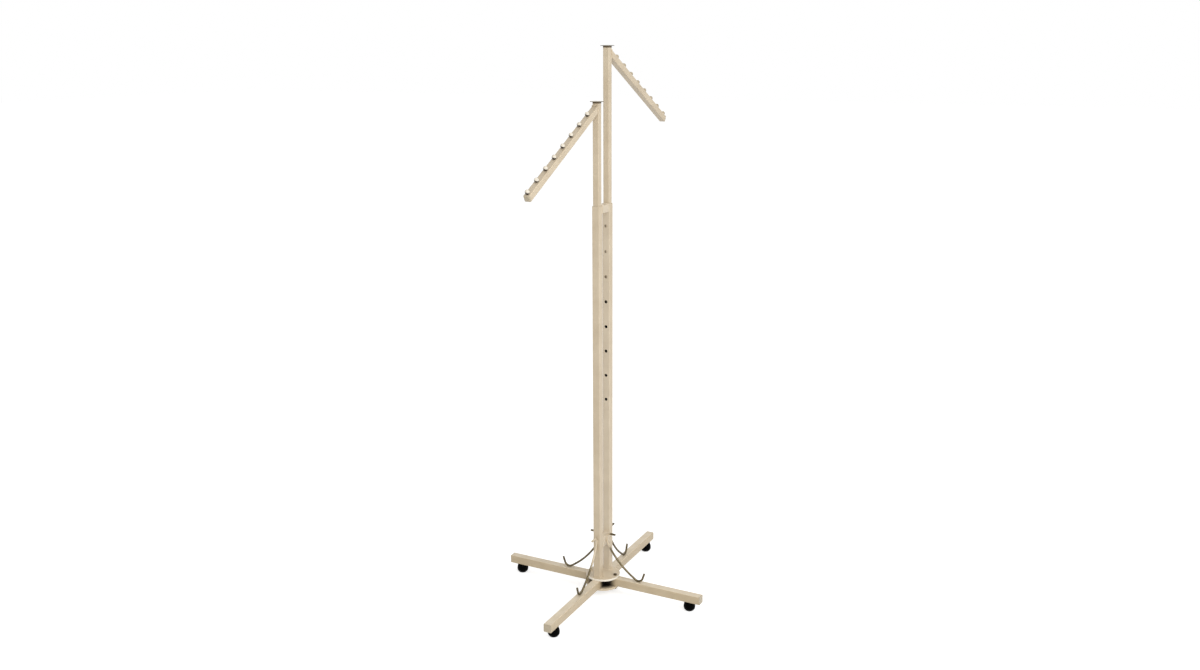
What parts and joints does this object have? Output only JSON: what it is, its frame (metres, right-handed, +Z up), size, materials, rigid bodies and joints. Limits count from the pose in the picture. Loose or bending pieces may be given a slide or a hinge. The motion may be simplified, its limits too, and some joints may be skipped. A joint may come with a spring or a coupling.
{
  "type": "clothes rack",
  "caption": "Free-standing two-way clothes rack: a cross base on levelling feet, a twin-tube column and two telescoping masts with slanted studded hanging arms.",
  "frame": {"origin": "on the floor under the middle of the column", "axes": "+Z up, +Y towards the taller rear mast and its arm, X along the two side legs"},
  "size_m": [0.666, 0.871, 1.675],
  "materials": {
    "beige_paint": "satin powder coat",
    "beige_plastic": "moulded, satin",
    "plated_wire": "dull nickel plate",
    "zinc_fastener": "zinc plated",
    "spring_steel": "oiled spring steel",
    "black_plastic": "moulded"
  },
  "bodies": {
    "base": {"hub_top_plate": "beige_paint", "hub_bottom_plate": "beige_paint", "column_tube_rear": "beige_paint", "column_tube_front": "beige_paint", "top_spacer": "beige_paint", "lower_spacer": "beige_paint", "leg_right": "beige_paint", "leg_back": "beige_paint", "leg_left": "beige_paint", "leg_front": "beige_paint", "hub_bolts": "zinc_fastener", "hub_washers": "zinc_fastener", "hub_nuts": "zinc_fastener", "foot_nuts": "zinc_fastener", "leg_cap_right": "beige_plastic", "leg_cap_back": "beige_plastic", "leg_cap_left": "beige_plastic", "leg_cap_front": "beige_plastic", "bent_rod_right": "plated_wire", "bent_rod_back": "plated_wire", "bent_rod_left": "plated_wire", "bent_rod_front": "plated_wire"},
    "rear_mast": {"mast_rear": "beige_paint", "mast_cap_rear": "beige_plastic", "arm_rear": "beige_paint", "arm_cap_rear": "beige_plastic", "arm_studs_rear": "beige_paint"},
    "rear_button": {"snap_clip_rear": "spring_steel"},
    "front_mast": {"mast_front": "beige_paint", "mast_cap_front": "beige_plastic", "arm_front": "beige_paint", "arm_cap_front": "beige_plastic", "arm_studs_front": "beige_paint"},
    "front_button": {"snap_clip_front": "spring_steel"},
    "foot_screw_right": {"foot_stem_right": "zinc_fastener"},
    "foot_pad_right": {"foot_pad_right": "black_plastic"},
    "foot_screw_back": {"foot_stem_back": "zinc_fastener"},
    "foot_pad_back": {"foot_pad_back": "black_plastic"},
    "foot_screw_left": {"foot_stem_left": "zinc_fastener"},
    "foot_pad_left": {"foot_pad_left": "black_plastic"},
    "foot_screw_front": {"foot_stem_front": "zinc_fastener"},
    "foot_pad_front": {"foot_pad_front": "black_plastic"}
  },
  "joints": [
    {"name": "rear_height", "type": "slide", "parent": "base", "child": "rear_mast", "axis": [0, 0, 1], "range_m": [-0.381, 0.1524], "deforming": ["snap_clip_rear"]},
    {"name": "rear_press", "type": "slide", "parent": "rear_mast", "child": "rear_button", "axis": [0, 1, 0], "range_m": [0, 0.0045], "stiffness_N_per_m": 1500, "deforming": ["snap_clip_rear"]},
    {"name": "front_height", "type": "slide", "parent": "base", "child": "front_mast", "axis": [0, 0, 1], "range_m": [-0.2286, 0.3048], "deforming": ["snap_clip_front"]},
    {"name": "front_press", "type": "slide", "parent": "front_mast", "child": "front_button", "axis": [0, -1, 0], "range_m": [0, 0.0045], "stiffness_N_per_m": 1500, "deforming": ["snap_clip_front"]},
    {"name": "foot_lift_right", "type": "slide", "parent": "base", "child": "foot_screw_right", "axis": [0, 0, -1], "range_m": [0, 0.01]},
    {"name": "foot_turn_right", "type": "hinge", "parent": "foot_screw_right", "child": "foot_pad_right", "pos_m": [0.295, 0, 0], "axis": [0, 0, -1], "range_deg": [0, 2880]},
    {"name": "foot_lift_back", "type": "slide", "parent": "base", "child": "foot_screw_back", "axis": [0, 0, -1], "range_m": [0, 0.01]},
    {"name": "foot_turn_back", "type": "hinge", "parent": "foot_screw_back", "child": "foot_pad_back", "pos_m": [0, 0.323, 0], "axis": [0, 0, -1], "range_deg": [0, 2880]},
    {"name": "foot_lift_left", "type": "slide", "parent": "base", "child": "foot_screw_left", "axis": [0, 0, -1], "range_m": [0, 0.01]},
    {"name": "foot_turn_left", "type": "hinge", "parent": "foot_screw_left", "child": "foot_pad_left", "pos_m": [-0.295, 0, 0], "axis": [0, 0, -1], "range_deg": [0, 2880]},
    {"name": "foot_lift_front", "type": "slide", "parent": "base", "child": "foot_screw_front", "axis": [0, 0, -1], "range_m": [0, 0.01]},
    {"name": "foot_turn_front", "type": "hinge", "parent": "foot_screw_front", "child": "foot_pad_front", "pos_m": [0, -0.323, 0], "axis": [0, 0, -1], "range_deg": [0, 2880]}
  ],
  "couplings": [
    {"joint": "foot_lift_right", "follows": "foot_turn_right", "m_per_rad": 0.0001989},
    {"joint": "foot_lift_back", "follows": "foot_turn_back", "m_per_rad": 0.0001989},
    {"joint": "foot_lift_left", "follows": "foot_turn_left", "m_per_rad": 0.0001989},
    {"joint": "foot_lift_front", "follows": "foot_turn_front", "m_per_rad": 0.0001989}
  ]
}
